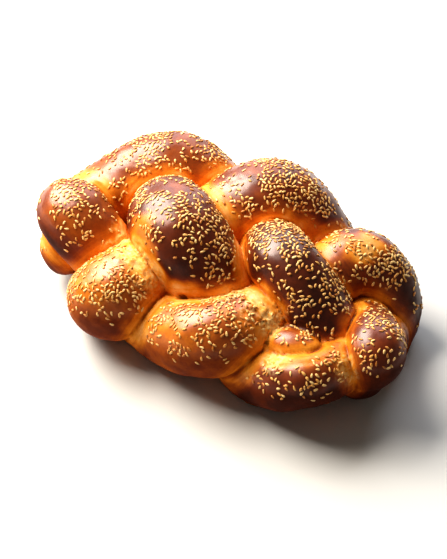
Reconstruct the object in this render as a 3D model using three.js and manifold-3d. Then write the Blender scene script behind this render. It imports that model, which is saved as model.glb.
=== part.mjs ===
// A braided loaf: four fat strands of dough plaited over and under one another, risen until they
// press together, baked on a flat tray and scattered with sesame seeds.
// Millimetres, +Z up, +X along the loaf, with the origin under the middle of its outline.

import * as THREE from 'three';
import * as BufferGeometryUtils from 'three/addons/utils/BufferGeometryUtils.js';
import Module from 'manifold-3d';

// The plait's rule: strands cross at whole steps along the loaf, and each comes back to the edge
// that it left after eight steps.
const stepLength = 37; // length of loaf taken up by one step in the middle
const endTightening = 0.39; // share of that length lost towards the two ends
const middleStep = 4; // the step at the loaf's middle
const stepsPerTurn = 8;
const turnReach = 45.5; // how far out a strand's centre line turns
const strandRadius = 21;
const crossingHeight = 43.5; // mean height of the centre lines along the loaf's middle
const turnHeight = 25; // and at the outer turns
const middleRise = 17.8; // rise over, or dip under, another strand in the middle
const sideRise = 13.8; // and towards the outer turns
const endReach = { left: 0.44, right: 0.42 }; // share of the reach left at the loaf's two ends
const endHeight = 0.56; // share of the height left there
const endRadius = 0.7; // share of the radius left at a strand's own end
const loafShift = { x: 8.7, y: -3.6 }; // brings the outline's middle over the origin
const settling = 2.5; // how far the strands' undersides are pressed flat on the tray
const undersideSag = 1.15; // how much deeper a strand is below its centre line than above it

// The four strands. The lag is the step at which a strand turns at the loaf's back edge, and the
// shaping is how far this hand-plaited loaf strays from the rule at a step: millimetres along the
// loaf, across it towards its back, up, and more strand radius.
const strands = [
  {
    lag: -1,
    firstStep: 0,
    lastStep: 8,
    shaping: {
      0: { along: -15, across: -10, up: 8, swell: 2 },
      1: { along: -13, across: -17 },
      2: { along: 7, across: 10, up: -2, swell: -2 },
      3: { along: 12, across: 2, up: -2 },
      4: { along: 16, across: -16, up: -6, swell: 1 },
      5: { along: 6, across: 4, up: 6 },
      6: { along: -6, across: 3 },
      7: { along: -2, across: -5, swell: -2 },
      8: { along: -3, up: -7 },
    },
  },
  {
    lag: 1,
    firstStep: 0,
    lastStep: 8,
    shaping: {
      0: { along: 4, across: -4, up: -12, swell: 2 },
      1: { along: -6, across: 8, up: 2, swell: 3 },
      2: { up: 5 },
      3: { along: 1, across: -8, up: 4, swell: 5 },
      4: { along: 10, across: 12, swell: 2 },
      5: { across: 2, up: -6, swell: -2 },
      6: { along: 6, across: -18, up: -9, swell: -5.5 },
      7: { swell: -3 },
      8: { across: -4, up: -9 },
    },
  },
  {
    lag: 3,
    firstStep: 0,
    lastStep: 7,
    shaping: {
      0: { along: -16, across: -3 },
      1: { along: -23, across: 11, up: 8 },
      2: { across: 16, up: 10, swell: 2 },
      3: { along: 7, across: 8 },
      4: { across: 6, swell: 1 },
      5: { along: -5, swell: -1 },
      6: { across: 17, up: 9 },
      7: { along: -15, across: 4 },
    },
  },
  {
    lag: 5,
    firstStep: 0,
    lastStep: 8,
    shaping: {
      0: { along: 8 },
      1: { along: 18, swell: -2 },
      2: { along: 15, across: -14, up: -7, swell: 4 },
      3: { along: -5, up: 10 },
      4: { along: -3, across: 16, up: 8, swell: 7 },
      5: { across: 7 },
      6: { across: -5, up: -8, swell: -3 },
      7: { along: 11, across: -20, up: -12, swell: -4.5 },
      8: { across: -3, up: 6 },
    },
  },
];

// The crumb that fills the inside between the strands, and the bit of strand that swells up in
// the gap at the front, as ellipsoids.
const fillings = [
  { centre: [-4, 2, 15], radii: [94, 46, 27], sides: 20, rings: 10 },
  { centre: [59.5, -39.5, 42], radii: [18, 11, 11], sides: 14, rings: 8 },
];

// How finely a strand is faceted
const stripsPerStep = 5;
const sidesAround = 14;
const ringsAtEnds = 4;

// Sesame seeds, most of them on the lobes' tops
const seedCount = 110;
const seedSize = { length: 3.4, width: 1.9, thickness: 1.2 };
const seedSides = 5;
const seedRings = 4;
const seedTaper = 0.35; // how much narrower a seed is at its pointed end
const seedSunk = 0.15; // how deep its middle lies under the crust
const seedSpacing = 7;
const seedClearance = 2.5; // kept between a seed and a neighbouring strand
const seedLowest = 26; // no seed lies lower than this
const seedLeastTilt = 0.25; // upward part of the direction in which a seed's crust faces, at least
const randomSeed = 7;

// A small seeded generator of numbers from 0 to 1
function makeRandom(seed) {
  let state = seed;
  return () => {
    state = (state + 0x6d2b79f5) | 0;
    let mixed = Math.imul(state ^ (state >>> 15), 1 | state);
    mixed = (mixed + Math.imul(mixed ^ (mixed >>> 7), 61 | mixed)) ^ mixed;
    return ((mixed ^ (mixed >>> 14)) >>> 0) / 4294967296;
  };
}

const { clamp, lerp, smoothstep } = THREE.MathUtils;

// Where the rule puts a strand's centre line at a step, and its radius there
function ruledStation(strand, step) {
  const phase = (Math.PI * (step - strand.lag) * 2) / stepsPerTurn;
  const fromMiddle = (step - middleStep) / middleStep;
  const sideways = Math.cos(phase);
  const rise = Math.cos(Math.PI * (step - strand.lag)) * Math.sin(phase);
  const left = smoothstep(step, -0.5, 1.7);
  const right = smoothstep(stepsPerTurn - step, -0.5, 1.7);
  const reach = turnReach * lerp(endReach.left, 1, left) * lerp(endReach.right, 1, right);
  const height = lerp(crossingHeight, turnHeight, sideways ** 2);
  const swing = lerp(middleRise, sideRise, Math.abs(sideways));
  const fromEnd = Math.min(step - strand.firstStep, strand.lastStep - step) + 0.2;
  return {
    x: stepLength * (step - middleStep) * (1 - endTightening * fromMiddle ** 2),
    y: reach * sideways,
    z: (height + swing * rise) * lerp(endHeight, 1, left * right),
    radius: strandRadius * lerp(endRadius, 1, smoothstep(fromEnd, 0, 0.9)),
  };
}

// The directions across a centre line at each strip's edge, turning with it as little as they can
function framesAlong(centre, strips) {
  const frames = [];
  let top = new THREE.Vector3(0, 0, 1);
  for (let strip = 0; strip <= strips; strip += 1) {
    const forward = centre.getTangent(strip / strips);
    top = top.clone().addScaledVector(forward, -top.dot(forward)).normalize();
    frames.push({ forward, top, right: new THREE.Vector3().crossVectors(forward, top) });
  }
  return frames;
}

// A strand's centre line and its radius, both as smooth curves through its stations
function strandCurves(strand) {
  const centres = [];
  const radii = [];
  for (let step = strand.firstStep; step <= strand.lastStep; step += 1) {
    const { along = 0, across = 0, up = 0, swell = 0 } = strand.shaping[step] ?? {};
    const station = ruledStation(strand, step);
    centres.push(new THREE.Vector3(station.x + along, station.y + across, station.z + up));
    radii.push(new THREE.Vector3(station.radius + swell, 0, 0));
  }
  const centre = new THREE.CatmullRomCurve3(centres, false, 'catmullrom', 0.5);
  const radius = new THREE.CatmullRomCurve3(radii, false, 'catmullrom', 0.5);
  const strips = stripsPerStep * (strand.lastStep - strand.firstStep);
  return { centre, radius, strips, frames: framesAlong(centre, strips) };
}

// The point on a strand's skin at a strip's edge, in a direction round the strand, where sideways
// and upward are that direction's parts; beyond moves it past a round end, in radii
function skinPoint(curves, strip, sideways, upward, beyond) {
  const share = strip / curves.strips;
  const { forward, top, right } = curves.frames[strip];
  const radius = curves.radius.getPoint(share).x;
  const offset = new THREE.Vector3()
    .addScaledVector(right, sideways * radius)
    .addScaledVector(top, upward * radius)
    .addScaledVector(forward, beyond * radius);
  if (offset.z < 0) {
    offset.z *= undersideSag;
  }
  return curves.centre.getPoint(share).add(offset);
}

// A geometry with only positions, its shared vertices merged
function mergedShape(geometry) {
  geometry.deleteAttribute('normal');
  geometry.deleteAttribute('uv');
  return BufferGeometryUtils.mergeVertices(geometry);
}

// A strand as a capsule bent along its centre line
function strandShape(curves) {
  const capsule = new THREE.CapsuleGeometry(1, 1, ringsAtEnds, sidesAround, curves.strips);
  const shape = mergedShape(capsule);
  const position = shape.getAttribute('position');
  for (let i = 0; i < position.count; i += 1) {
    const height = position.getY(i) + 0.5;
    const along = clamp(height, 0, 1);
    const strip = Math.round(along * curves.strips);
    const point = skinPoint(curves, strip, position.getX(i), position.getZ(i), height - along);
    position.setXYZ(i, point.x, point.y, point.z);
  }
  return shape;
}

function fillingShape(filling) {
  const ball = new THREE.SphereGeometry(1, filling.sides, filling.rings);
  const shape = mergedShape(ball);
  shape.scale(...filling.radii);
  shape.translate(...filling.centre);
  return shape;
}

// A sesame seed lying flat at the origin: an ellipsoid drawn to a point at one end
function seedShape() {
  const ball = new THREE.SphereGeometry(0.5, seedSides, seedRings);
  ball.rotateZ(Math.PI / 2);
  const shape = mergedShape(ball);
  const position = shape.getAttribute('position');
  for (let i = 0; i < position.count; i += 1) {
    const x = position.getX(i);
    const narrowing = 1 - seedTaper * (x + 0.5);
    position.setXYZ(
      i,
      x * seedSize.length,
      position.getY(i) * seedSize.width * narrowing,
      position.getZ(i) * seedSize.thickness * narrowing,
    );
  }
  return shape;
}

// Whether a point lies clear of every strand but its own
function isClear(point, ownCurves, allCurves) {
  const samples = 60;
  for (const curves of allCurves) {
    if (curves === ownCurves) {
      continue;
    }
    for (let i = 0; i <= samples; i += 1) {
      const reach = curves.radius.getPoint(i / samples).x + seedClearance;
      if (curves.centre.getPoint(i / samples).distanceTo(point) < reach) {
        return false;
      }
    }
  }
  return true;
}

// Seeds scattered over the lobes' tops, each turned at random and kept clear of the others
function seedShapes(allCurves) {
  const random = makeRandom(randomSeed);
  const shapes = [];
  const places = [];
  while (shapes.length < seedCount) {
    const curves = allCurves[Math.floor(random() * allCurves.length)];
    const strip = Math.floor(random() * (curves.strips + 1));
    const round = random() * Math.PI * 2;
    const turn = random() * Math.PI * 2;
    const place = skinPoint(curves, strip, Math.sin(round), Math.cos(round), 0);
    const outward = place.clone().sub(skinPoint(curves, strip, 0, 0, 0)).normalize();
    const tooLow = place.z < seedLowest || outward.z < seedLeastTilt;
    const tooNear = places.some((other) => other.distanceTo(place) < seedSpacing);
    if (tooLow || tooNear || !isClear(place, curves, allCurves)) {
      continue;
    }
    const lay = new THREE.Quaternion().setFromUnitVectors(new THREE.Vector3(0, 0, 1), outward);
    const spin = new THREE.Quaternion().setFromAxisAngle(new THREE.Vector3(0, 0, 1), turn);
    const shape = seedShape();
    shape.applyQuaternion(lay.multiply(spin));
    const bed = place.clone().addScaledVector(outward, -seedSunk);
    shape.translate(bed.x, bed.y, bed.z);
    places.push(place);
    shapes.push(shape);
  }
  return shapes;
}

const wasm = await Module();
wasm.setup();

// A closed shape as a solid that can be joined and cut
function toSolid(shape) {
  const mesh = new wasm.Mesh({
    numProp: 3,
    vertProperties: new Float32Array(shape.getAttribute('position').array),
    triVerts: new Uint32Array(shape.getIndex().array),
  });
  return new wasm.Manifold(mesh);
}

// A solid back as a shape
function toShape(solid) {
  const mesh = solid.getMesh();
  const shape = new THREE.BufferGeometry();
  shape.setAttribute('position', new THREE.BufferAttribute(mesh.vertProperties, 3));
  shape.setIndex(new THREE.BufferAttribute(mesh.triVerts, 1));
  return shape;
}

function joinAll(solids) {
  return solids.reduce((joined, solid) => joined.add(solid));
}

// The outer skin alone, so that pockets sealed between the strands are filled
function withoutPockets(solid) {
  const pieces = solid.decompose();
  return pieces.reduce((largest, piece) => (piece.volume() > largest.volume() ? piece : largest));
}

// The tray's flat top, as a block that takes away all that hangs below it
function trayShape() {
  const block = new THREE.BoxGeometry(400, 300, 100);
  block.translate(0, 0, settling - 50);
  return mergedShape(block);
}

function loafSolid() {
  const allCurves = strands.map(strandCurves);
  const dough = [...allCurves.map(strandShape), ...fillings.map(fillingShape)];
  const baked = joinAll(dough.map(toSolid)).subtract(toSolid(trayShape()));
  const seeds = joinAll(seedShapes(allCurves).map(toSolid));
  return withoutPockets(withoutPockets(baked).add(seeds));
}

const crust = new THREE.MeshStandardMaterial({ color: 0x9a4a1c, roughness: 0.4, metalness: 0 });
const loaf = new THREE.Mesh(toShape(loafSolid()), crust);
loaf.name = 'loaf';
loaf.position.set(loafShift.x, loafShift.y, -settling);

const group = new THREE.Group();
group.add(loaf);

export default group;
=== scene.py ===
# A braided loaf with a glossy browned crust, scattered with sesame seeds.
# Metres, +Z up, +X along the loaf, with the origin under the middle of its outline.

import math

import bpy
import numpy as np
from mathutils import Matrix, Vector


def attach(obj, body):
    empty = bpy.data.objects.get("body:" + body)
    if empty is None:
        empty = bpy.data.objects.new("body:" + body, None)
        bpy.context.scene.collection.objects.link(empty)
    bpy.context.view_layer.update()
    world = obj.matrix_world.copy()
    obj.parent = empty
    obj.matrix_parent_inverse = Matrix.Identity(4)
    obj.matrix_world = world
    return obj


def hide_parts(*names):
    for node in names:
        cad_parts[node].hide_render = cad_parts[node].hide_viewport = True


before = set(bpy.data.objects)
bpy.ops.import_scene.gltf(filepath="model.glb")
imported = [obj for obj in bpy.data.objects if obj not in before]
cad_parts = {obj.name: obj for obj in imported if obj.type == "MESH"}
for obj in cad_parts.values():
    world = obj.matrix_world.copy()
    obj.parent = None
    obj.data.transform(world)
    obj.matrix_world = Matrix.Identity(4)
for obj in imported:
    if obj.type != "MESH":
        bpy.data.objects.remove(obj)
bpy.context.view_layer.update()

mm = 0.001


# An output in a node tree, so that a formula of such outputs can be written out as one
class Flow:
    def __init__(self, tree, output):
        self.tree = tree
        self.output = output

    def maths(self, operation, *values):
        return addNode(self.tree, "ShaderNodeMath", {"operation": operation}, dict(enumerate(values)))

    # Another output of the same node
    def sibling(self, name):
        return Flow(self.tree, self.output.node.outputs[name])

    def clamped(self):
        return addNode(self.tree, "ShaderNodeClamp", {}, {"Value": self})

    # 0 below the first value and 1 above the second, smooth in between
    def between(self, low, high):
        inputs = {"Value": self, "From Min": low, "From Max": high}
        return addNode(self.tree, "ShaderNodeMapRange", {"interpolation_type": "SMOOTHSTEP"}, inputs)

    def __add__(self, other):
        return self.maths("ADD", self, other)

    def __radd__(self, other):
        return self.maths("ADD", other, self)

    def __sub__(self, other):
        return self.maths("SUBTRACT", self, other)

    def __rsub__(self, other):
        return self.maths("SUBTRACT", other, self)

    def __mul__(self, other):
        return self.maths("MULTIPLY", self, other)


# A node of any type: its settings first, then the values or links of its inputs
def addNode(tree, kind, settings=None, inputs=None, output=0):
    node = tree.nodes.new(kind)
    for name, value in (settings or {}).items():
        setattr(node, name, value)
    setInputs(tree, node, inputs or {})
    return Flow(tree, node.outputs[output])


def setInputs(tree, node, inputs):
    for name, value in inputs.items():
        if isinstance(value, Flow):
            tree.links.new(value.output, node.inputs[name])
        else:
            node.inputs[name].default_value = value


# sRGB 0..255 as the linear colour that a socket takes
def colour(red, green, blue):
    shares = [value / 255 for value in (red, green, blue)]
    return tuple(s / 12.92 if s <= 0.04045 else ((s + 0.055) / 1.055) ** 2.4 for s in shares) + (1,)


# A colour ramp with stops of a place and an sRGB colour
def rampOf(tree, stops, factor):
    ramp = addNode(tree, "ShaderNodeValToRGB", {}, {"Fac": factor})
    elements = ramp.output.node.color_ramp.elements
    while len(elements) < len(stops):
        elements.new(1)
    for element, (place, value) in zip(elements, stops):
        element.position = place
        element.color = colour(*value)
    return ramp


# The sockets are told apart by number, because those for other values have the same names
def mixColours(tree, share, first, second):
    return addNode(tree, "ShaderNodeMix", {"data_type": "RGBA"}, {0: share, 6: first, 7: second}, 2)


def attribute(tree, name):
    return addNode(tree, "ShaderNodeAttribute", {"attribute_name": name}, {}, "Fac")


def makeMaterial(name):
    material = bpy.data.materials.new(name)
    material.use_nodes = True
    return material


# The values or links of a material's Principled shader
def setShader(material, inputs):
    setInputs(material.node_tree, material.node_tree.nodes["Principled BSDF"], inputs)


# A geometry tree with named inputs, and the Flow of each of them
def makeGeometryTree(name, inputs):
    tree = bpy.data.node_groups.new(name, "GeometryNodeTree")
    face = tree.interface
    face.new_socket("Geometry", in_out="INPUT", socket_type="NodeSocketGeometry")
    face.new_socket("Geometry", in_out="OUTPUT", socket_type="NodeSocketGeometry")
    kinds = {float: "NodeSocketFloat", int: "NodeSocketInt", bpy.types.Material: "NodeSocketMaterial"}
    for key, value in inputs.items():
        face.new_socket(key, in_out="INPUT", socket_type=kinds[type(value)])
    source = tree.nodes.new("NodeGroupInput")
    return tree, {key: Flow(tree, source.outputs[key]) for key in ["Geometry", *inputs]}


# Ends a geometry tree: single meshes with their material
def endTree(tree, geometry, material, smooth=False):
    ended = addNode(tree, "GeometryNodeRealizeInstances", {}, {"Geometry": geometry})
    if smooth:
        ended = addNode(tree, "GeometryNodeSetShadeSmooth", {}, {"Geometry": ended})
    ended = addNode(tree, "GeometryNodeSetMaterial", {}, {"Geometry": ended, "Material": material})
    end = tree.nodes.new("NodeGroupOutput")
    tree.links.new(ended.output, end.inputs["Geometry"])


# Runs a geometry tree on an object with these inputs, and gives the mesh that comes out of it
def bakeMesh(thing, tree, inputs, name):
    modifier = thing.modifiers.new(tree.name, "NODES")
    modifier.node_group = tree
    for item in tree.interface.items_tree:
        if item.in_out == "INPUT" and item.name in inputs:
            modifier[item.identifier] = inputs[item.name]
    evaluated = thing.evaluated_get(bpy.context.evaluated_depsgraph_get())
    mesh = bpy.data.meshes.new_from_object(evaluated)
    thing.modifiers.clear()
    mesh.name = name
    return addObject(name, mesh)


def addObject(name, data):
    thing = bpy.data.objects.new(name, data)
    bpy.context.scene.collection.objects.link(thing)
    return thing


def countTriangles(mesh):
    return sum(len(face.vertices) - 2 for face in mesh.polygons)


def smoothstep(values, low, high):
    share = np.clip((values - low) / (high - low), 0, 1)
    return share * share * (3 - 2 * share)


def lerp(first, second, share):
    return first + (second - first) * share


# The cells along a side of the noise below, how many of them a seed moves it, and its strength
lattice = {"side": 24, "shiftPerSeed": 0.37, "contrast": 1.6}


# Smooth noise from about -1 to 1 at each point, with lumps of about the given size
def lumps(points, size, seed):
    side = lattice["side"]
    values = np.random.default_rng(seed).uniform(-1, 1, (side, side, side))
    places = points / size + lattice["shiftPerSeed"] * seed
    cells = np.floor(places).astype(int)
    parts = places - cells
    parts = parts * parts * (3 - 2 * parts)
    total = np.zeros(len(points))
    for corner in np.ndindex(2, 2, 2):
        at = (cells + corner) % side
        shares = np.where(np.array(corner) == 1, parts, 1 - parts).prod(axis=1)
        total += shares * values[at[:, 0], at[:, 1], at[:, 2]]
    return total * lattice["contrast"]


# Strands cross at whole steps along the loaf. Each goes from edge to edge in four steps, and comes
# back to the edge that it left after eight. Millimetres.
plait = {
    "stepsAcross": 4,
    "stepLength": 37,
    "endTightening": 0.39,
    "turnReach": 45.5,
    "radius": 21,
    "crossingHeight": 43.5,
    "turnHeight": 25,
    "middleRise": 17.8,
    "sideRise": 13.8,
    "endSteps": (-0.5, 1.7),
    "endReach": (0.44, 0.42),
    "endHeight": 0.56,
    "endRadius": 0.7,
    "taperStart": 0.2,
    "taperLength": 0.9,
    "shift": (8.7, -3.6, -2.5),
    "sag": 1.15,
    "samplesPerStep": 40,
}
shift = np.array(plait["shift"])

# The step at which a strand turns at the back edge, its steps, and at each step how far this
# hand-plaited loaf strays from the rule (along, across, up, more radius), how brown it is and
# how densely it is seeded. The brownness is partly baking and partly painted light: lighter on the
# lobes that the key lamp lights at the left and front, darker on the shaded lobes low at the right
strands = [
    {
        "lag": -1,
        "shaping": [
            (-15, -10, 8, 2), (-13, -17, 0, 0), (7, 10, -2, -2), (12, 2, -2, 0), (16, -16, -6, 1),
            (6, 4, 6, 0), (-6, 3, 0, 0), (-2, -5, 0, -2), (-3, 0, -7, 0),
        ],
        "browningWithPaintedLight": [0.62, 0.7, 0.6, 0.52, 0.57, 0.75, 0.84, 0.93, 0.9],
        "seeding": [0.7, 0.8, 0.6, 0.9, 0.9, 0.8, 1.0, 1.0, 0.8],
    },
    {
        "lag": 1,
        "shaping": [
            (4, -4, -12, 2), (-6, 8, 2, 3), (0, 0, 5, 0), (1, -8, 4, 5), (10, 12, 0, 2),
            (0, 2, -6, -2), (6, -18, -9, -5.5), (0, 0, 0, -3), (0, -4, -9, 0),
        ],
        "browningWithPaintedLight": [0.6, 0.65, 0.76, 0.84, 0.8, 0.7, 0.8, 0.78, 0.75],
        "seeding": [0.7, 0.8, 0.9, 0.95, 0.6, 0.5, 0.9, 0.8, 0.6],
    },
    {
        "lag": 3,
        "shaping": [
            (-16, -3, 0, 0), (-23, 11, 8, 0), (0, 16, 10, 2), (7, 8, 0, 0), (0, 6, 0, 1),
            (-5, 0, 0, -1), (0, 17, 9, 0), (-15, 4, 0, 0),
        ],
        "browningWithPaintedLight": [0.6, 0.7, 0.76, 0.72, 0.82, 0.88, 0.88, 0.8],
        "seeding": [0.3, 0.6, 1.0, 0.8, 0.9, 1.0, 0.8, 0.7],
    },
    {
        "lag": 5,
        "shaping": [
            (8, 0, 0, 0), (18, 0, 0, -2), (15, -14, -7, 4), (-5, 0, 10, 0), (-3, 16, 8, 7),
            (0, 7, 0, 0), (0, -5, -8, -3), (11, -20, -12, -4.5), (0, -3, 6, 0),
        ],
        "browningWithPaintedLight": [0.66, 0.6, 0.54, 0.6, 0.8, 0.82, 0.8, 0.78, 0.92],
        "seeding": [0.6, 0.9, 1.0, 0.6, 1.0, 0.9, 0.7, 1.0, 0.9],
    },
]

# The crumb inside, and the bit of strand that swells up in the gap at the front: ellipsoids
fillings = [
    {"centre": (-4, 2, 15), "radii": (94, 46, 27), "browningWithPaintedLight": 0.3, "seeding": 0},
    {"centre": (59.5, -39.5, 42), "radii": (18, 11.5, 11.5), "browningWithPaintedLight": 0.7, "seeding": 0.9},
]
crumb, swelling = len(strands), len(strands) + 1


# Where the rule puts a strand's centre line at a step, and its radius there
def ruledStation(lag, step, lastStep):
    across = plait["stepsAcross"]
    phase = math.pi * (step - lag) / across
    fromMiddle = (step - across) / across
    sideways = math.cos(phase)
    rise = math.cos(math.pi * (step - lag)) * math.sin(phase)
    left = smoothstep(step, *plait["endSteps"])
    right = smoothstep(2 * across - step, *plait["endSteps"])
    reach = plait["turnReach"]
    reach *= lerp(plait["endReach"][0], 1, left) * lerp(plait["endReach"][1], 1, right)
    height = lerp(plait["crossingHeight"], plait["turnHeight"], sideways**2)
    swing = lerp(plait["middleRise"], plait["sideRise"], abs(sideways))
    fromEnd = smoothstep(min(step, lastStep - step) + plait["taperStart"], 0, plait["taperLength"])
    return [
        plait["stepLength"] * (step - across) * (1 - plait["endTightening"] * fromMiddle**2),
        reach * sideways,
        (height + swing * rise) * lerp(plait["endHeight"], 1, left * right),
        plait["radius"] * lerp(plait["endRadius"], 1, fromEnd),
    ]


# A smooth curve through rows of values at whole steps
def throughStations(rows, samplesPerStep):
    rows = np.array(rows, float)
    padded = np.vstack([2 * rows[0] - rows[1], rows, 2 * rows[-1] - rows[-2]])
    samples = []
    for i in range(len(rows) - 1):
        a, b, c, d = padded[i : i + 4]
        for t in np.arange(samplesPerStep) / samplesPerStep:
            bend = (2 * a - 5 * b + 4 * c - d) * t * t + (3 * b - a - 3 * c + d) * t**3
            samples.append((2 * b + (c - a) * t + bend) / 2)
    samples.append(rows[-1])
    return np.array(samples)


# A strand as samples of its centre line: place, radius, browning with painted light, and seeding, in metres
def sampleStrand(strand):
    lastStep = len(strand["shaping"]) - 1
    rows = []
    for step, stray in enumerate(strand["shaping"]):
        station = np.add(ruledStation(strand["lag"], step, lastStep), stray)
        rows.append([*station, strand["browningWithPaintedLight"][step], strand["seeding"][step]])
    samples = throughStations(rows, plait["samplesPerStep"])
    samples[:, :3] += shift
    samples[:, :4] *= mm
    return samples


centreLines = [sampleStrand(strand) for strand in strands]
print("strands", len(centreLines), "samples", sum(len(samples) for samples in centreLines))

search = {"pointsAtOnce": 20000, "stride": 4}


# The sample of a strand's centre line whose skin each point is nearest to: one sample in a stride is
# tried first, then those round the best of them
def nearestSamples(points, samples):
    atOnce, stride = search["pointsAtOnce"], search["stride"]
    nearest = np.zeros(len(points), int)
    for start in range(0, len(points), atOnce):
        some = points[start : start + atOnce, None, :]
        away = np.linalg.norm(some - samples[None, ::stride, :3], axis=2) - samples[None, ::stride, 3]
        nearest[start : start + atOnce] = away.argmin(axis=1) * stride
    best = np.full(len(points), np.inf)
    found = nearest.copy()
    for offset in range(-stride, stride + 1):
        index = np.clip(nearest + offset, 0, len(samples) - 1)
        away = outsideStrand(points, samples, index)[0]
        better = away < best
        best = np.where(better, away, best)
        found = np.where(better, index, found)
    return found


# How far each point lies outside a strand's skin at given samples, with the outward direction
def outsideStrand(points, samples, index):
    offset = points - samples[index, :3]
    offset[:, 2] = np.where(offset[:, 2] < 0, offset[:, 2] / plait["sag"], offset[:, 2])
    length = np.linalg.norm(offset, axis=1)
    return length - samples[index, 3], offset / length[:, None]


# How far each point lies outside an ellipsoid, nearly, and its outward direction
def outsideFilling(points, filling):
    radii = np.array(filling["radii"]) * mm
    offset = points - (filling["centre"] + shift) * mm
    scaled = np.linalg.norm(offset / radii, axis=1)
    slope = offset / radii**2 / scaled[:, None]
    steepness = np.linalg.norm(slope, axis=1)
    return (scaled - 1) / steepness, slope / steepness[:, None]


# Every strand and filling at each point: how far outside it the point lies, the outward direction,
# the height of its middle there, its browning with painted light and its seeding, each as an array with a
# row per body
def measureBodies(points, nearest):
    rows = []
    for samples, index in zip(centreLines, nearest):
        away, outward = outsideStrand(points, samples, index)
        rows.append((away, outward, samples[index, 2], samples[index, 4], samples[index, 5]))
    for filling in fillings:
        away, outward = outsideFilling(points, filling)
        middle = (filling["centre"][2] + shift[2]) * mm
        flat = np.ones(len(points))
        rows.append((away, outward, flat * middle, flat * filling["browningWithPaintedLight"], flat * filling["seeding"]))
    return [np.array(column) for column in zip(*rows)]


# The first, rough skin: dough round every few samples of the strands, and round lines of samples
# that fill the ellipsoids, as shares of their radii. It is fitted to the exact shapes afterwards.
dough = {
    "samplesApart": 3,
    "linesAcross": (-0.6, -0.3, 0, 0.3, 0.6),
    "lineEnds": 0.7,
    "lineSamples": 60,
    "fullness": 0.97,
    "voxel": 1.25,
    "threshold": 0.1,
    "leastVertices": 5000,
}


# The loaf's centre lines and the fillings' lines as a curve that the tree below turns into dough
def makeCentreCurve():
    lines = [samples[:: dough["samplesApart"], :4] for samples in centreLines]
    for filling in fillings:
        radii = np.array(filling["radii"])
        for across in dough["linesAcross"]:
            along = np.linspace(-dough["lineEnds"], dough["lineEnds"], dough["lineSamples"])
            line = np.zeros((dough["lineSamples"], 4))
            line[:, 0] = along * radii[0]
            line[:, 1] = across * radii[1]
            line[:, :3] += filling["centre"] + shift
            line[:, 3] = np.sqrt(1 - along**2 - across**2) * min(radii[1:]) * dough["fullness"]
            lines.append(line * mm)
    curve = bpy.data.curves.new("centreLines", "CURVE")
    curve.dimensions = "3D"
    for line in lines:
        spline = curve.splines.new("POLY")
        spline.points.add(len(line) - 1)
        for point, (x, y, z, radius) in zip(spline.points, line):
            point.co = (x, y, z, 1)
            point.radius = radius
    return addObject("centreLines", curve)


# Dough of the given radius round every point of the centre lines, grown together into one skin.
# A small closed skin inside it is a hollow between strands, and goes.
def makeDoughTree(inputs):
    tree, flows = makeGeometryTree("dough", inputs)
    points = addNode(tree, "GeometryNodeCurveToPoints", {"mode": "EVALUATED"}, {"Curve": flows["Geometry"]})
    radius = addNode(tree, "GeometryNodeInputRadius")
    sizes = {"Points": points, "Voxel Size": flows["Voxel Size"], "Radius": radius}
    volume = addNode(tree, "GeometryNodePointsToVolume", {"resolution_mode": "VOXEL_SIZE"}, sizes)
    skinning = {"Volume": volume, "Voxel Size": flows["Voxel Size"], "Threshold": flows["Threshold"]}
    grown = addNode(tree, "GeometryNodeVolumeToMesh", {"resolution_mode": "VOXEL_SIZE"}, skinning)
    island = addNode(tree, "GeometryNodeInputMeshIsland")
    counting = {"Value": 1, "Group ID": island}
    size = addNode(tree, "GeometryNodeAccumulateField", {"data_type": "INT"}, counting, "Total")
    comparison = {"data_type": "INT", "operation": "LESS_THAN"}
    hollow = addNode(tree, "FunctionNodeCompare", comparison, {2: size, 3: flows["Least Vertices"]})
    solid = addNode(tree, "GeometryNodeDeleteGeometry", {}, {"Geometry": grown, "Selection": hollow})
    endTree(tree, solid, flows["Material"])
    return tree


# How the bodies join into one skin, in millimetres: the rounding between strands, and the wider one
# where the base presses them together. A fold is how far the outward directions differ at a seam.
skin = {
    "settlings": 3,
    "seamRounding": 2.2,
    "baseRounding": 9,
    "pressedHeights": (2, 11),
    "leastFold": 0.12,
    "foldRange": (0.25, 0.65),
    "overRange": (-6, 6),
}


# A mesh's vertices as rows, read and written
def readPoints(mesh):
    values = np.empty(len(mesh.vertices) * 3)
    mesh.vertices.foreach_get("co", values)
    return values.reshape(-1, 3)


def writePoints(mesh, points):
    mesh.vertices.foreach_set("co", points.ravel())
    mesh.update()


# The vertices at both ends of each edge
def readEdges(mesh):
    ends = np.empty(len(mesh.edges) * 2, int)
    mesh.edges.foreach_get("vertices", ends)
    return ends.reshape(-1, 2)


def writeAttribute(mesh, name, values):
    layer = mesh.attributes.new(name, "FLOAT", "POINT")
    layer.data.foreach_set("value", values.astype(np.float32))


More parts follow.
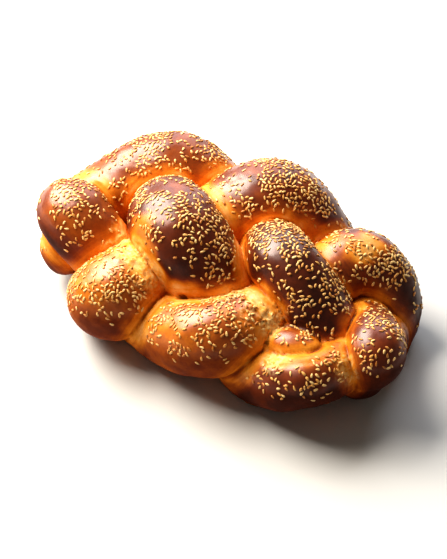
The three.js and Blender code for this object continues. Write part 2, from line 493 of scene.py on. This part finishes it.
# How the skin lies at each point: its distance outside the joined bodies, the outward direction,
# about how far off the nearest seam is along the surface, in millimetres, and how sharply it folds,
# how much the nearest body lies over the other one, and how far along its strand the point is
def measureSkin(points):
    nearest = [nearestSamples(points, samples) for samples in centreLines]
    away, outward, middle, browningWithPaintedLight, seeding = measureBodies(points, nearest)
    rows = np.arange(len(points))
    first = away.argmin(axis=0)
    others = away.copy()
    others[first, rows] = np.inf
    others[crumb] = np.inf  # it makes no seam
    second = others.argmin(axis=0)
    gap = others[second, rows] - away[first, rows]
    pressed = 1 - smoothstep(points[:, 2] / mm, *skin["pressedHeights"])
    rounding = lerp(skin["seamRounding"], skin["baseRounding"], pressed) * mm
    share = np.clip(1 - gap / rounding, 0, 1)
    direction = lerp(outward[first, rows], outward[second, rows], (share / 2)[:, None])
    direction /= np.linalg.norm(direction, axis=1)[:, None]
    over = (middle[first, rows] - middle[second, rows]) / mm
    fold = np.linalg.norm(outward[first, rows] - outward[second, rows], axis=1)
    indices = np.array(nearest + [np.zeros(len(points), int)] * len(fillings))
    return {
        "depth": away[first, rows] - share**2 * rounding / 4,
        "outward": direction,
        "reach": gap / mm / np.clip(fold, skin["leastFold"], 1),
        "fold": smoothstep(fold, *skin["foldRange"]),
        "over": smoothstep(over, *skin["overRange"]),
        "browningWithPaintedLight": browningWithPaintedLight[first, rows],
        "seeding": seeding[first, rows],
        "body": first,
        "along": indices[first, rows] * (plait["stepLength"] / plait["samplesPerStep"]),
    }


# Moves points onto the exact skin, and gives how it lies there
def settleOnSkin(points):
    for _ in range(skin["settlings"]):
        state = measureSkin(points)
        points -= state["outward"] * state["depth"][:, None]
    return measureSkin(points)


# Where the crust of this loaf strays from the rules below: middles, how far they reach and how much
spots = {
    # The bare dough wrinkled or tore as the loaf rose
    "torn": [
        ((30, -41, 57), 20, 1.0), ((50, -40, 50), 12, 0.9), ((-38, -42, 60), 17, 0.75),
        ((-59, -26, 52), 14, 0.6), ((-24, -49, 54), 15, 0.7), ((62, -61, 42), 11, 0.8),
        ((99, -46, 41), 14, 0.6), ((-10, 30, 72), 12, 0.5),
    ],
    # A gap is left between strands, where the skin sinks in and painted shade darkens it
    "gap": [((-4, -47, 47), 6, 1), ((51, -51, 43), 3.5, 1), ((95, -24, 52), 7, 1), ((38, -70, 32), 6, 1)],
    # The brown crust and its seeds reach right up to the seam
    "closed": [
        ((74, 6, 58), 22, 1.0), ((102, -10, 53), 17, 0.9), ((72, -30, 52), 16, 0.8),
        ((52, -36, 58), 11, 0.4),
    ],
    # The dough stretched open on both sides of the seam, into a wider pale band
    "open": [((-38, -33, 70), 15, 1.0), ((-25, -41, 56), 16, 1.0), ((-6, -43, 55), 14, 0.9)],
    # Spots of lighter crust: most stayed paler than the rest of the lobe, and the two at the back right are
    # a painted highlight that stands in for the lamps' glare
    "paleAndHighlit": [
        ((-37, -32, 74), 13, 0.45), ((-32, -38, 66), 13, 0.5), ((-19, -42, 55), 13, 0.6),
        ((-5, -43, 53), 10, 0.5), ((63, 28, 62), 17, 0.5), ((76, 31, 62), 18, 0.62),
        ((39, -27, 59), 10, 0.35), ((55, -32, 54), 9, 0.3),
    ],
}

# The share of a spot's reach within which it is at its full strength
spotCore = 0.35


# How much of these spots there is at each point
def nearSpots(places, name):
    total = np.zeros(len(places))
    for middle, radius, amount in spots[name]:
        away = np.linalg.norm(places - middle, axis=1)
        total = np.maximum(total, (1 - smoothstep(away, spotCore * radius, radius)) * amount)
    return total


# Noises that the crust follows, as sums of lumps: how much, their size in millimetres and their seed
noises = {
    "bandWidth": [(0.6, 11, 1), (0.35, 4, 2)],
    "bandFrays": [(0.3, 2.6, 22)],
    "frayed": [(1, 15, 23)],
    "swells": [(0.8, 27, 4), (0.32, 9, 5)],
    "grain": [(0.06, 2.4, 10)],
    "marked": [(1, 12, 7)],
    "crumbs": [(1, 3.4, 8)],
    "fineCrumbs": [(1, 2.0, 17)],
    "flakes": [(1, 6, 9)],
    "bare": [(0.07, 5, 13)],
    "creaseShaded": [(1, 9, 27)],
    "foot": [(0.08, 20, 21)],
    "seeded": [(1, 13, 14), (0.4, 5, 15)],
    "patches": [(0.09, 16, 11), (0.05, 5, 12)],
}

# Noises that move places about: how far, the size of their lumps and a seed for each axis
warps = {"drift": (5, 13, (24, 25, 26)), "flakes": (2.5, 7, (18, 19, 20))}

# Noises drawn out along the strands: their lumps across and along the strand, how far apart they lie
# from one body to the next, and their seed
grooves = {"marks": (2.9, 17, 7.3, 6), "fineMarks": (1.7, 9, 5.1, 16)}


def noiseAt(places, name):
    return sum(amount * lumps(places, size, seed) for amount, size, seed in noises[name])


def warped(places, name):
    amount, size, seeds = warps[name]
    return places + amount * np.column_stack([lumps(places, size, seed) for seed in seeds])


def groovesAt(state, name):
    across, along, apart, seed = grooves[name]
    strip = np.column_stack([state["reach"] / across, state["along"] / along, state["body"] * apart])
    return lumps(strip, 1, seed)


# How many times the edges of the pale bands and of the browning are averaged
softenings = 6


# Values at the vertices after averaging each with its neighbours a number of times
def smoothOver(mesh, values, times):
    ends = readEdges(mesh)
    count = len(mesh.vertices)
    degree = np.bincount(ends.ravel(), minlength=count)
    for _ in range(times):
        total = np.bincount(ends[:, 0], values[ends[:, 1]], count)
        total += np.bincount(ends[:, 1], values[ends[:, 0]], count)
        values = (values + total / degree) / 2
    return values


base = {"height": 1.6, "facingDown": (0.2, 0.8), "rounds": 90, "allNeighbours": 0.999}


# Presses the base to the floor, and evens out the vertices that have only others of the base
# beside them, so that no faces fold over
def flattenBase(mesh, points, up):
    onBase = points[:, 2] <= base["height"] * mm * smoothstep(-up, *base["facingDown"])
    points[onBase, 2] = 0
    inner = onBase & (smoothOver(mesh, onBase.astype(float), 1) > base["allNeighbours"])
    for _ in range(base["rounds"]):
        for axis in (0, 1):
            points[inner, axis] = smoothOver(mesh, points[:, axis], 1)[inner]
    return onBase


# The pale band beside a seam is wide on the strand below and narrow on the one above. It is narrower
# low down and near the loaf's ends, and wider where the dough tore. Widths and heights in
# millimetres.
band = {
    "widthBelow": 10,
    "widthAbove": 4.2,
    "torn": 1.1,
    "frayed": (-0.3, 0.5),
    "low": 0.2,
    "lowHeights": (8, 38),
    "end": 0.55,
    "endLengths": (82, 108),
    "edges": (0.4, 1.1),
    "tornEdges": (0.5, 1.5),
    "slack": 0.1,
    "seamRounds": 60,
    "seamShares": (0.0006, 0.01),
    "closed": 13,
    "opened": 8,
    "tornGain": 1.2,
    "tornHeights": (25, 42),
}


# 1 near the vertices where the surface passes from one body to another
def findSeams(mesh, body):
    ends = readEdges(mesh)
    seam = np.zeros(len(body))
    seam[ends[body[ends[:, 0]] != body[ends[:, 1]]].ravel()] = 1
    return smoothstep(smoothOver(mesh, seam, band["seamRounds"]), *band["seamShares"])


# How pale and how torn the crust is at each point
def findBands(mesh, places, state):
    tearing = nearSpots(places, "torn")
    width = lerp(band["widthBelow"], band["widthAbove"], state["over"])
    width *= 1 + noiseAt(places, "bandWidth") + band["torn"] * tearing
    width *= 1 + noiseAt(places, "bandFrays") * smoothstep(noiseAt(places, "frayed"), *band["frayed"])
    width *= lerp(band["low"], 1, smoothstep(places[:, 2], *band["lowHeights"]))
    ends = smoothstep(np.abs(places[:, 0]), *band["endLengths"])
    width *= lerp(1, band["end"], ends) * state["fold"]
    inner, outer = band["edges"]
    pale = 1 - smoothstep(state["bared"], inner * width, outer * width + band["slack"])
    pale = lerp(smoothOver(mesh, pale, softenings), pale, tearing) * state["seam"]
    inner, outer = band["tornEdges"]
    torn = tearing * (1 - smoothstep(state["reach"], inner * width, outer * width + band["slack"]))
    torn = np.clip(torn * band["tornGain"], 0, 1) * smoothstep(places[:, 2], *band["tornHeights"])
    return pale, torn


# The relief, in millimetres: swells, stretch marks along the strands beside a seam, crumbs and flakes
# of torn dough, and the seams and gaps themselves
relief = {
    "calmed": 0.6,
    "marks": 0.32,
    "fineMarks": 0.5,
    "leastMarks": 0.35,
    "marked": (-0.4, 0.4),
    "crumbs": 0.9,
    "coarseCrumbs": 1.3,
    "fineCrumbs": 0.6,
    "flakes": 0.6,
    "flakeSteps": 2.5,
    "tornDepth": 0.5,
    "seamDepth": 1.1,
    "seamReach": (0, 1.7),
    "gapDepth": 2.2,
    "gapReach": (0.8, 3),
}


def shapeRelief(places, state):
    torn, nearSeam = state["torn"], state["nearSeam"]
    flakes = np.round(relief["flakeSteps"] * noiseAt(warped(places, "flakes"), "flakes"))
    lift = noiseAt(places, "swells") * (1 - relief["calmed"] * nearSeam) + noiseAt(places, "grain")
    strength = lerp(relief["leastMarks"], 1, smoothstep(noiseAt(places, "marked"), *relief["marked"]))
    lift += relief["marks"] * state["marks"] * nearSeam * strength
    rubble = relief["crumbs"] * state["crumbs"] + relief["flakes"] * (flakes / relief["flakeSteps"])
    lift += torn * (rubble - relief["tornDepth"])
    lift -= relief["seamDepth"] * (1 - smoothstep(state["reach"], *relief["seamReach"])) * state["fold"]
    return lift - relief["gapDepth"] * state["gapAndShade"]


# The browning with painted light and shade, from 0 for bare dough to 1 for nearly burnt. The crust is
# browner where it rose clear of a seam, and the bare dough towards the ends. Painted shade darkens the
# low sides, the low part of the right end, the bare dough low down and the bottoms of the creases.
bakingAndPaintedShade = {
    "swellingRise": 9,
    "rise": (22, 15),
    "riseStart": -3,
    "leastRisen": 0.35,
    # Painted shade on the low sides, which face down and away from the lamps
    "lowSideShade": 0.2,
    "lowSideShadeUp": (-0.1, 0.6),
    # Painted shade on the low part of the right end, the side away from the key lamp
    "right": 0.14,
    "shadedRightLengths": (35, 115),
    "shadedRightHeights": (15, 50),
    "bare": 0.22,
    "bareMarks": 0.06,
    "bareEnds": 0.12,
    "bareMiddle": -20,
    "bareEndLengths": (20, 105),
    # Painted shade on the bare dough low down
    "bareLowShade": 0.2,
    "bareLowShadeHeights": (15, 48),
    "tornLightening": 0.5,
    "tornBrowning": 0.16,
    "tornCrumbs": (0.7, 1.4),
    "marks": 0.05,
    # Painted shade in the bottoms of the seams' creases
    "creaseShade": 0.26,
    "creaseShadeReach": (0.3, 1.9),
    "creaseShaded": (-0.6, 0.3),
    "foot": 0.66,
    "footHeights": (0, 6),
    "footUp": (-0.4, 0.6),
}


def bakeCrustWithPaintedLight(mesh, places, state):
    height, up, reach = places[:, 2], state["up"], state["reach"]
    pale, torn, marks, nearSeam = state["pale"], state["torn"], state["marks"], state["nearSeam"]
    rise = np.where(state["body"] == swelling, bakingAndPaintedShade["swellingRise"], lerp(*bakingAndPaintedShade["rise"], state["over"]))
    risen = smoothstep(state["bared"], bakingAndPaintedShade["riseStart"], rise)
    risen = np.maximum(risen, 1 - state["fold"] * state["seam"])
    bakeAndPaintedLight = state["browningWithPaintedLight"] * lerp(bakingAndPaintedShade["leastRisen"], 1, smoothOver(mesh, risen, softenings))
    # Lighter spots: mostly paler crust, and at the back right a painted highlight
    bakeAndPaintedLight *= 1 - nearSpots(state["drifted"], "paleAndHighlit")
    # Painted shade: the low sides, which face down and away from the lamps, are browner
    bakeAndPaintedLight += bakingAndPaintedShade["lowSideShade"] * (1 - smoothstep(up, *bakingAndPaintedShade["lowSideShadeUp"]))
    # Painted shade: the low part of the right end, away from the key lamp, is browner
    right = smoothstep(places[:, 0], *bakingAndPaintedShade["shadedRightLengths"])
    bakeAndPaintedLight += bakingAndPaintedShade["right"] * right * (1 - smoothstep(height, *bakingAndPaintedShade["shadedRightHeights"]))
    bakeAndPaintedLight += noiseAt(places, "patches")

    bare = bakingAndPaintedShade["bare"] + noiseAt(places, "bare") - bakingAndPaintedShade["bareMarks"] * marks * nearSeam
    fromMiddle = np.abs(places[:, 0] - bakingAndPaintedShade["bareMiddle"])
    bare += bakingAndPaintedShade["bareEnds"] * smoothstep(fromMiddle, *bakingAndPaintedShade["bareEndLengths"])
    # Painted shade: the bare dough low down is browner
    bare += bakingAndPaintedShade["bareLowShade"] * (1 - smoothstep(height, *bakingAndPaintedShade["bareLowShadeHeights"]))
    bare *= 1 - bakingAndPaintedShade["tornLightening"] * torn
    bare += bakingAndPaintedShade["tornBrowning"] * torn * smoothstep(state["crumbs"], *bakingAndPaintedShade["tornCrumbs"])
    bakeAndPaintedLight = lerp(bakeAndPaintedLight, bare, pale)

    bakeAndPaintedLight += bakingAndPaintedShade["marks"] * marks * nearSeam * (1 - pale)
    # Painted shade: the crust darkens at the bottom of each seam's crease, in patches
    creaseShade = (1 - smoothstep(reach, *bakingAndPaintedShade["creaseShadeReach"])) * state["fold"]
    bakeAndPaintedLight += bakingAndPaintedShade["creaseShade"] * creaseShade * smoothstep(noiseAt(places, "creaseShaded"), *bakingAndPaintedShade["creaseShaded"])
    foot = (1 - smoothstep(height, *bakingAndPaintedShade["footHeights"])) * smoothstep(-up, *bakingAndPaintedShade["footUp"])
    return lerp(bakeAndPaintedLight, bakingAndPaintedShade["foot"] + noiseAt(places, "foot"), foot)


# How densely the seeds lie: on the tops, clear of the seams, in drifts
sowing = {
    "least": 0.3,
    "drifts": (-0.5, 0.5),
    "up": (-0.2, 0.75),
    "clear": (2.5, 10),
    "heights": (6, 20),
}


def sowSeeds(places, state):
    seeding = lerp(sowing["least"], 1, smoothstep(noiseAt(places, "seeded"), *sowing["drifts"]))
    clear = smoothstep(state["bared"], *sowing["clear"])
    seeding *= state["seeding"] * smoothstep(state["up"], *sowing["up"]) * clear
    return seeding * smoothstep(places[:, 2], *sowing["heights"])


# How far the stretch marks reach from a seam, and the share of them that the swelling has
nearness = {"reach": (2, 16), "onSwelling": 0.35}

# Where the crust was washed with egg: where it faces up, and less on bare dough
washing = {"up": (0.1, 0.75), "missed": 0.8}

# Keeps the streaks of one body apart from those of the next
bodySpacing = 400


# Fits the skin, presses the base flat, adds the relief and stores what the crust's look follows
def refineSkin(mesh):
    points = readPoints(mesh)
    state = settleOnSkin(points)
    reach, body = state["reach"], state["body"]
    state["up"] = state["outward"][:, 2]
    onBase = flattenBase(mesh, points, state["up"])
    places = points / mm

    # The distance from a seam that the pale band, the browning and the seeds go by
    state["drifted"] = warped(places, "drift")
    closed = band["closed"] * nearSpots(state["drifted"], "closed")
    state["bared"] = reach + closed - band["opened"] * nearSpots(places, "open")
    state["seam"] = findSeams(mesh, body)
    state["pale"], state["torn"] = findBands(mesh, places, state)

    # Stretch marks, crumbs of torn dough, and gaps that sink in and are darkened with painted shade
    share = np.where(body == swelling, nearness["onSwelling"], 1)
    state["nearSeam"] = (1 - smoothstep(reach, *nearness["reach"])) * state["fold"] * share
    ridges = 1 - 2 * np.abs(groovesAt(state, "marks"))
    state["marks"] = ridges + relief["fineMarks"] * groovesAt(state, "fineMarks")
    state["crumbs"] = relief["coarseCrumbs"] * np.abs(noiseAt(places, "crumbs"))
    state["crumbs"] += relief["fineCrumbs"] * np.abs(noiseAt(places, "fineCrumbs"))
    # Where the gaps sink in, and where their painted shade lies
    state["gapAndShade"] = nearSpots(places, "gap") * (1 - smoothstep(reach, *relief["gapReach"]))

    points += state["outward"] * (shapeRelief(places, state) * mm)[:, None]
    points[:, 2] = np.where(onBase, 0, np.maximum(points[:, 2], 0))
    writePoints(mesh, points)

    state["bakeAndPaintedLight"] = bakeCrustWithPaintedLight(mesh, places, state)
    state["sown"] = sowSeeds(places, state)
    washed = smoothstep(state["up"], *washing["up"])
    state["wash"] = washed * (1 - washing["missed"] * state["pale"])
    for name in ("bakeAndPaintedLight", "pale", "torn", "gapAndShade", "wash", "sown"):
        writeAttribute(mesh, name, np.clip(state[name], 0, 1))
    writeAttribute(mesh, "reach", reach)
    writeAttribute(mesh, "along", state["along"] + bodySpacing * body)


# The crust's look. Sizes in millimetres, colours in sRGB, and the stops go by how far it baked, with
# painted light and shade added to that value.
crustLook = {
    "stops": [
        (0, (252, 222, 168)),
        (0.14, (246, 187, 108)),
        (0.28, (235, 153, 48)),
        (0.44, (207, 117, 17)),
        (0.6, (165, 80, 7)),
        (0.78, (117, 45, 3)),
        (1, (66, 20, 2)),
    ],
    "streaks": {"size": 1.1, "along": 0.13, "apart": 0.002, "reach": (4, 17), "share": 0.28},
    "blotches": {"size": 7, "share": 0.2},
    "speckles": {"size": 1.6, "share": 0.14},
    "pores": {"size": 0.9, "range": (0.62, 0.74), "share": 0.5, "colour": (70, 26, 8)},
    "flour": {"size": 2.2, "range": (0.42, 0.62), "share": 0.6, "colour": (253, 226, 158)},
    # Painted shade: the dark colour laid in the gaps between strands
    "gapShade": {"range": (0.1, 0.9), "share": 0.7, "colour": (46, 24, 4)},
    "roughness": {"dry": 0.72, "washed": 0.5, "size": 3, "share": 0.12},
    "bumps": {"fineSize": 0.8, "fine": 0.25, "size": 2.6, "smooth": 0.5, "torn": 1.6},
    "bumpStrength": 0.5,
    "bumpDepth": 0.35,
    "coat": 0.9,
    "coatRoughness": 0.32,
    "coatIndex": 1.58,
    "specular": 0.12,
}


# Coloured by how far the crust baked, with painted light and shade in the same value and painted shade
# in the gaps, glossy where it was washed with egg and dull where the dough came bare
def makeCrust():
    material = makeMaterial("crust")
    tree, look = material.node_tree, crustLook
    place = addNode(tree, "ShaderNodeTexCoord", {}, {}, "Object")
    names = ("bakeAndPaintedLight", "pale", "torn", "gapAndShade", "wash", "reach", "along")
    bakeAndPaintedLight, pale, torn, gapAndShade, wash, reach, along = (attribute(tree, name) for name in names)

    def noise(size, detail=4, roughness=0.55, vector=place):
        inputs = {"Vector": vector, "Scale": 1 / size, "Detail": detail, "Roughness": roughness}
        return addNode(tree, "ShaderNodeTexNoise", {}, inputs)

    # Fine streaks along the strand, strongest beside the seams
    fine = look["streaks"]
    axes = {"X": reach, "Y": along * fine["along"], "Z": along * fine["apart"]}
    streaks = noise(fine["size"], 3, 0.6, addNode(tree, "ShaderNodeCombineXYZ", {}, axes)) - 0.5
    streaks = streaks * (1 - reach.between(*fine["reach"]))

    mottle = streaks * fine["share"]
    for kind in (look["blotches"], look["speckles"]):
        mottle = mottle + (noise(kind["size"] * mm) - 0.5) * kind["share"]
    tint = rampOf(tree, look["stops"], (bakeAndPaintedLight + mottle).clamped())
    pores, flour, gapShade = look["pores"], look["flour"], look["gapShade"]
    covers = [
        (noise(pores["size"] * mm, 3).between(*pores["range"]), pores),
        (torn * noise(flour["size"] * mm).between(*flour["range"]), flour),
        # Painted shade in the gaps between strands
        (gapAndShade.between(*gapShade["range"]), gapShade),
    ]
    for cover, kind in covers:
        tint = mixColours(tree, cover * kind["share"], tint, colour(*kind["colour"]))

    dull, bumps = look["roughness"], look["bumps"]
    roughness = dull["dry"] - wash * (dull["dry"] - dull["washed"])
    roughness = roughness + (noise(dull["size"] * mm) - 0.5) * dull["share"]
    height = noise(bumps["fineSize"] * mm, 3) * bumps["fine"] + streaks
    height = height + noise(bumps["size"] * mm) * (bumps["smooth"] + torn * bumps["torn"])
    bump = {"Strength": look["bumpStrength"], "Distance": look["bumpDepth"] * mm, "Height": height}
    setShader(material, {
        "Base Color": tint,
        "Roughness": roughness,
        "Coat Weight": wash * look["coat"],
        "Coat Roughness": look["coatRoughness"],
        "Coat IOR": look["coatIndex"],
        "Specular IOR Level": look["specular"],
        "Normal": addNode(tree, "ShaderNodeBump", {}, bump),
    })
    return material


seedLook = {
    "stops": [(0, (184, 112, 42)), (0.35, (228, 170, 88)), (1, (250, 214, 146))],
    "roughness": 0.42,
}


def makeSeedMaterial():
    material = makeMaterial("sesame")
    tree = material.node_tree
    tint = rampOf(tree, seedLook["stops"], attribute(tree, "tone"))
    setShader(material, {"Base Color": tint, "Roughness": seedLook["roughness"]})
    return material


# A seed's mesh, how far it is turned at random, in radians, and how much its three sizes vary
sesame = {
    "segments": 7,
    "rings": 4,
    "turn": ((-0.16, -0.16, 0), (0.16, 0.16, 6.283)),
    "sizes": ((0.82, 0.82, 0.85), (1.14, 1.14, 1.15)),
}


# Sesame seeds scattered over the skin: teardrops that lie flat, a little sunk and turned at random
def makeSeedTree(inputs):
    tree, flows = makeGeometryTree("scatter", inputs)
    sphere = {"Segments": sesame["segments"], "Rings": sesame["rings"], "Radius": 0.5}
    ball = addNode(tree, "GeometryNodeMeshUVSphere", {}, sphere)
    place = addNode(tree, "GeometryNodeInputPosition")
    x = addNode(tree, "ShaderNodeSeparateXYZ", {}, {"Vector": place}, "X")
    y, z = x.sibling("Y"), x.sibling("Z")
    narrowing = 1 - flows["Taper"] * (z + 0.5)
    sizes = {
        "X": z * flows["Length"],
        "Y": x * narrowing * flows["Width"],
        "Z": y * narrowing * flows["Thickness"],
    }
    shape = addNode(tree, "ShaderNodeCombineXYZ", {}, sizes)
    teardrop = addNode(tree, "GeometryNodeSetPosition", {}, {"Geometry": ball, "Position": shape})

    sown = addNode(tree, "GeometryNodeInputNamedAttribute", {"data_type": "FLOAT"}, {"Name": "sown"})
    spread = {
        "Mesh": flows["Geometry"],
        "Distance Min": flows["Spacing"],
        "Density Max": flows["Density"],
        "Density Factor": sown,
        "Seed": flows["Seed"],
    }
    scattering = {"distribute_method": "POISSON"}
    scatter = addNode(tree, "GeometryNodeDistributePointsOnFaces", scattering, spread)
    rise = {0: scatter.sibling("Normal"), "Scale": flows["Lift"]}
    offset = addNode(tree, "ShaderNodeVectorMath", {"operation": "SCALE"}, rise)
    raised = addNode(tree, "GeometryNodeSetPosition", {}, {"Geometry": scatter, "Offset": offset})

    # The sockets of the node for vectors and for numbers have the same names, so they go by number
    def random(low, high, number, kind, first, output):
        values = {first: low, first + 1: high, "Seed": flows["Seed"] + number}
        return addNode(tree, "FunctionNodeRandomValue", {"data_type": kind}, values, output)

    turn = random(*sesame["turn"], 1, "FLOAT_VECTOR", 0, 0)
    spin = addNode(tree, "FunctionNodeEulerToRotation", {}, {"Euler": turn})
    turning = {"Rotation": scatter.sibling("Rotation"), "Rotate By": spin}
    rotation = addNode(tree, "FunctionNodeRotateRotation", {"rotation_space": "LOCAL"}, turning)
    size = random(*sesame["sizes"], 2, "FLOAT_VECTOR", 0, 0)
    scattered = {"Points": raised, "Instance": teardrop, "Rotation": rotation, "Scale": size}
    instances = addNode(tree, "GeometryNodeInstanceOnPoints", {}, scattered)
    storing = {"data_type": "FLOAT", "domain": "INSTANCE"}
    tone = {"Geometry": instances, "Name": "tone", "Value": random(0.0, 1.0, 3, "FLOAT", 2, 1)}
    toned = addNode(tree, "GeometryNodeStoreNamedAttribute", storing, tone)
    endTree(tree, toned, flows["Material"], smooth=True)
    return tree


doughInputs = {
    "Voxel Size": dough["voxel"] * mm,
    "Threshold": dough["threshold"],
    "Least Vertices": dough["leastVertices"],
    "Material": makeCrust(),
}
curve = makeCentreCurve()
loaf = bakeMesh(curve, makeDoughTree(doughInputs), doughInputs, "loafCrust")
bpy.data.objects.remove(curve)
print("dough", len(loaf.data.vertices), "vertices")
refineSkin(loaf.data)
loaf.data.polygons.foreach_set("use_smooth", [True] * len(loaf.data.polygons))
print("crust", countTriangles(loaf.data), "triangles")

seedInputs = {
    "Length": 2.95 * mm,
    "Width": 1.88 * mm,
    "Thickness": 1.0 * mm,
    "Taper": 0.45,
    "Lift": 0.2 * mm,
    "Spacing": 1.95 * mm,
    "Density": 420000.0,
    "Seed": 5,
    "Material": makeSeedMaterial(),
}
seeds = bakeMesh(loaf, makeSeedTree(seedInputs), seedInputs, "sesameSeeds")
verticesPerSeed = sesame["segments"] * (sesame["rings"] - 1) + 2
print("seeds", len(seeds.data.vertices) // verticesPerSeed, countTriangles(seeds.data), "triangles")

for piece, slot in ((loaf, "crust"), (seeds, "seeds")):
    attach(piece, "root")
    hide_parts("loaf")

# A pale floor just under the loaf, and soft light from the left and behind. Metres and watts.
studio = {
    "floorReach": 30,
    "floorDepth": 0.0002,
    "floorGrey": 0.72,
    "floorRoughness": 0.9,
    "aim": (0, 0, 0.04),
    "sky": (1, 0.9, 0.76, 1),
    "skyStrength": 0.12,
    "lamps": [
        {"name": "key", "place": (-0.6, 0.08, 0.64), "size": 0.65, "power": 20.5, "tint": (1, 0.93, 0.82)},
        {"name": "window", "place": (-0.3, 0.8, 0.6), "size": 1.0, "power": 8, "tint": (0.88, 0.93, 1)},
    ],
}


def makeFloor():
    mesh = bpy.data.meshes.new("floor")
    far = studio["floorReach"]
    corners = [(-far, -far, 0), (far, -far, 0), (far, far, 0), (-far, far, 0)]
    mesh.from_pydata(corners, [], [(0, 1, 2, 3)])
    floor = addObject("floor", mesh)
    floor.location.z = -studio["floorDepth"]
    material = makeMaterial("floor")
    grey = (studio["floorGrey"],) * 3 + (1,)
    setShader(material, {"Base Color": grey, "Roughness": studio["floorRoughness"]})
    mesh.materials.append(material)


def makeLamp(lamp):
    data = bpy.data.lights.new(lamp["name"], "AREA")
    data.size = lamp["size"]
    data.energy = lamp["power"]
    data.color = lamp["tint"]
    thing = addObject(lamp["name"], data)
    thing.location = lamp["place"]
    toLoaf = Vector(studio["aim"]) - thing.location
    thing.rotation_euler = toLoaf.to_track_quat("-Z", "Y").to_euler()


def makeSky():
    world = bpy.data.worlds.new("studio")
    world.use_nodes = True
    background = {"Color": studio["sky"], "Strength": studio["skyStrength"]}
    setInputs(world.node_tree, world.node_tree.nodes["Background"], background)
    bpy.context.scene.world = world


makeFloor()
for lamp in studio["lamps"]:
    makeLamp(lamp)
makeSky()
bpy.context.scene.view_settings.view_transform = "Standard"
bpy.context.scene.view_settings.look = "Medium High Contrast"
print("studio", len(studio["lamps"]), "lamps")

# The photo's view: the camera looks at aim from the given azimuth and elevation, in degrees, and
# distance, in millimetres
view = {"azimuth": 28.5, "elevation": 45.5, "distance": 900, "lens": 99.1, "aim": (3.6, -9.22, 33.4)}
nearClip = 0.01


def makeCamera():
    azimuth, elevation = math.radians(view["azimuth"]), math.radians(view["elevation"])
    back = Vector((
        math.sin(azimuth) * math.cos(elevation),
        -math.cos(azimuth) * math.cos(elevation),
        math.sin(elevation),
    ))
    data = bpy.data.cameras.new("camera")
    data.lens = view["lens"]
    data.clip_start = nearClip
    camera = addObject("camera", data)
    camera.location = (Vector(view["aim"]) + back * view["distance"]) * mm
    camera.rotation_euler = (-back).to_track_quat("-Z", "Y").to_euler()
    bpy.context.scene.camera = camera


makeCamera()
print("camera", view["azimuth"], view["elevation"])
